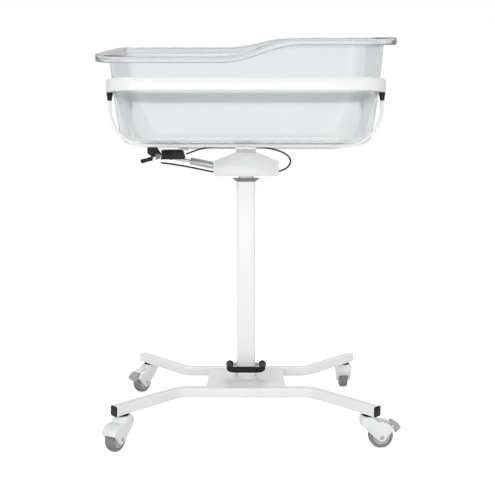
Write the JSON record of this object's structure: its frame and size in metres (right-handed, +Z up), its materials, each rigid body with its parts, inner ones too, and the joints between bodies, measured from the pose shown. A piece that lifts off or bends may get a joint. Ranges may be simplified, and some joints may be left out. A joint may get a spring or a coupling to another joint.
{
  "type": "hospital bassinet",
  "caption": "Newborn bassinet: clear moulded tub in a tilting ring cradle on a gas-lift square column with a foot pedal and a splayed base on braked casters.",
  "frame": {"origin": "on the floor under the middle of the column", "axes": "+X to the head end, +Y away from the low access side, +Z up"},
  "size_m": [0.75, 0.5805, 1.056],
  "materials": {
    "white_paint": "gloss powder coat",
    "black_paint": "satin",
    "black_plastic": "satin",
    "steel": "bright",
    "clear_tub": "clear",
    "hood_grey": "satin",
    "brake_grey": "satin",
    "wheel_rubber": "matt"
  },
  "bodies": {
    "base": {"front_beam": "white_paint", "rear_beam": "white_paint", "base_plate": "white_paint", "leg_cap_front_left": "black_plastic", "leg_cap_front_right": "black_plastic", "leg_cap_rear_left": "black_plastic", "leg_cap_rear_right": "black_plastic", "column_foot_ring": "white_paint", "column_tube": "white_paint", "guide_collar": "brake_grey", "spring_seat": "steel", "lift_spring_cylinder": "black_paint", "caster_stem_1": "black_plastic", "caster_stem_2": "black_plastic", "caster_stem_3": "black_plastic", "caster_stem_4": "black_plastic"},
    "pedal": {"pedal_bar": "black_plastic", "pedal_shaft": "steel"},
    "valve": {"valve_pin": "steel"},
    "lift": {"inner_column": "steel", "inner_glide": "black_plastic", "lift_spring_rod": "steel", "tilt_head": "white_paint", "tilt_axle": "steel", "spring_pivot_pin": "steel"},
    "cradle": {"ring_frame": "white_paint", "near_rod": "white_paint", "far_rod": "white_paint", "rod_socket_1": "black_plastic", "rod_socket_2": "black_plastic", "rod_socket_3": "black_plastic", "rod_socket_4": "black_plastic", "cross_plate": "white_paint", "pivot_saddle": "white_paint", "foot_cross_bar": "white_paint", "spring_clevis": "black_paint", "clevis_pin": "steel", "lever_bracket": "black_paint", "release_cable_run": "black_plastic", "release_cable_loop": "black_plastic"},
    "spring_body": {"tilt_spring_cylinder": "steel"},
    "spring_rod": {"tilt_spring_rod": "steel"},
    "lever": {"lever_arm": "steel", "lever_grip": "black_plastic"},
    "tub": {"tub": "clear_tub"},
    "swivel_1": {"caster_fork_1": "hood_grey", "caster_axle_1": "steel"},
    "wheel_1": {"caster_wheel_1": "wheel_rubber"},
    "swivel_2": {"caster_fork_2": "hood_grey", "caster_axle_2": "steel"},
    "wheel_2": {"caster_wheel_2": "wheel_rubber"},
    "brake_2": {"brake_pedal_2": "brake_grey"},
    "swivel_3": {"caster_fork_3": "hood_grey", "caster_axle_3": "steel"},
    "wheel_3": {"caster_wheel_3": "wheel_rubber"},
    "brake_3": {"brake_pedal_3": "brake_grey"},
    "swivel_4": {"caster_fork_4": "hood_grey", "caster_axle_4": "steel"},
    "wheel_4": {"caster_wheel_4": "wheel_rubber"}
  },
  "joints": [
    {"name": "lift_slide", "type": "slide", "parent": "base", "child": "lift", "axis": [0, 0, 1], "range_m": [0, 0.2]},
    {"name": "pedal_press", "type": "hinge", "parent": "base", "child": "pedal", "pos_m": [0, -0.012, 0.143], "axis": [1, 0, 0], "range_deg": [0, 12], "stiffness_Nm_per_rad": 2, "springref_deg": -28.65},
    {"name": "valve_push", "type": "slide", "parent": "base", "child": "valve", "axis": [0, 0, 1], "range_m": [0, 0.003]},
    {"name": "cradle_tilt", "type": "hinge", "parent": "lift", "child": "cradle", "pos_m": [0, 0, 0.703], "axis": [0, 1, 0], "range_deg": [-12, 12], "deforming": ["release_cable_run", "release_cable_loop"]},
    {"name": "spring_turn", "type": "hinge", "parent": "lift", "child": "spring_body", "pos_m": [-0.04, 0, 0.6715], "axis": [0, 1, 0], "range_deg": [-14.6, 14.6]},
    {"name": "spring_stroke", "type": "slide", "parent": "spring_body", "child": "spring_rod", "axis": [-0.9812, 0, 0.1932], "range_m": [-0.0081, 0.0081]},
    {"name": "lever_pull", "type": "hinge", "parent": "cradle", "child": "lever", "pos_m": [-0.218, -0.1445, 0.703], "axis": [0, 1, 0], "range_deg": [0, 12], "stiffness_Nm_per_rad": 0.3, "springref_deg": -28.65},
    {"name": "tub_lift_out", "type": "slide", "parent": "cradle", "child": "tub", "axis": [0, 0, 1], "range_m": [0, 0.3]},
    {"name": "swivel_1", "type": "hinge", "parent": "base", "child": "swivel_1", "pos_m": [-0.29694, -0.2273, 0.078], "axis": [0, 0, 1], "continuous": true},
    {"name": "wheel_1", "type": "hinge", "parent": "swivel_1", "child": "wheel_1", "pos_m": [-0.31056, -0.25403, 0.03], "axis": [0.891, -0.454, 0], "continuous": true},
    {"name": "swivel_2", "type": "hinge", "parent": "base", "child": "swivel_2", "pos_m": [0.29694, -0.2273, 0.078], "axis": [0, 0, 1], "continuous": true},
    {"name": "wheel_2", "type": "hinge", "parent": "swivel_2", "child": "wheel_2", "pos_m": [0.32692, -0.22625, 0.03], "axis": [-0.0349, 0.9994, 0], "continuous": true},
    {"name": "brake_2", "type": "hinge", "parent": "swivel_2", "child": "brake_2", "pos_m": [0.32092, -0.22646, 0.069], "axis": [0.0349, -0.9994, 0], "range_deg": [0, 15]},
    {"name": "swivel_3", "type": "hinge", "parent": "base", "child": "swivel_3", "pos_m": [-0.29694, 0.2273, 0.078], "axis": [0, 0, 1], "continuous": true},
    {"name": "wheel_3", "type": "hinge", "parent": "swivel_3", "child": "wheel_3", "pos_m": [-0.31415, 0.20272, 0.03], "axis": [0.8192, -0.5736, 0], "continuous": true},
    {"name": "brake_3", "type": "hinge", "parent": "swivel_3", "child": "brake_3", "pos_m": [-0.31071, 0.20764, 0.069], "axis": [-0.8192, 0.5736, 0], "range_deg": [0, 15]},
    {"name": "swivel_4", "type": "hinge", "parent": "base", "child": "swivel_4", "pos_m": [0.29694, 0.2273, 0.078], "axis": [0, 0, 1], "continuous": true},
    {"name": "wheel_4", "type": "hinge", "parent": "swivel_4", "child": "wheel_4", "pos_m": [0.29641, 0.25729, 0.03], "axis": [-0.9998, -0.0175, 0], "continuous": true}
  ],
  "couplings": [
    {"joint": "valve_push", "follows": "pedal_press", "m_per_rad": 0.0138},
    {"joint": "spring_turn", "follows": "cradle_tilt", "ratio": 1.203},
    {"joint": "spring_stroke", "follows": "cradle_tilt", "m_per_rad": 0.0382}
  ]
}
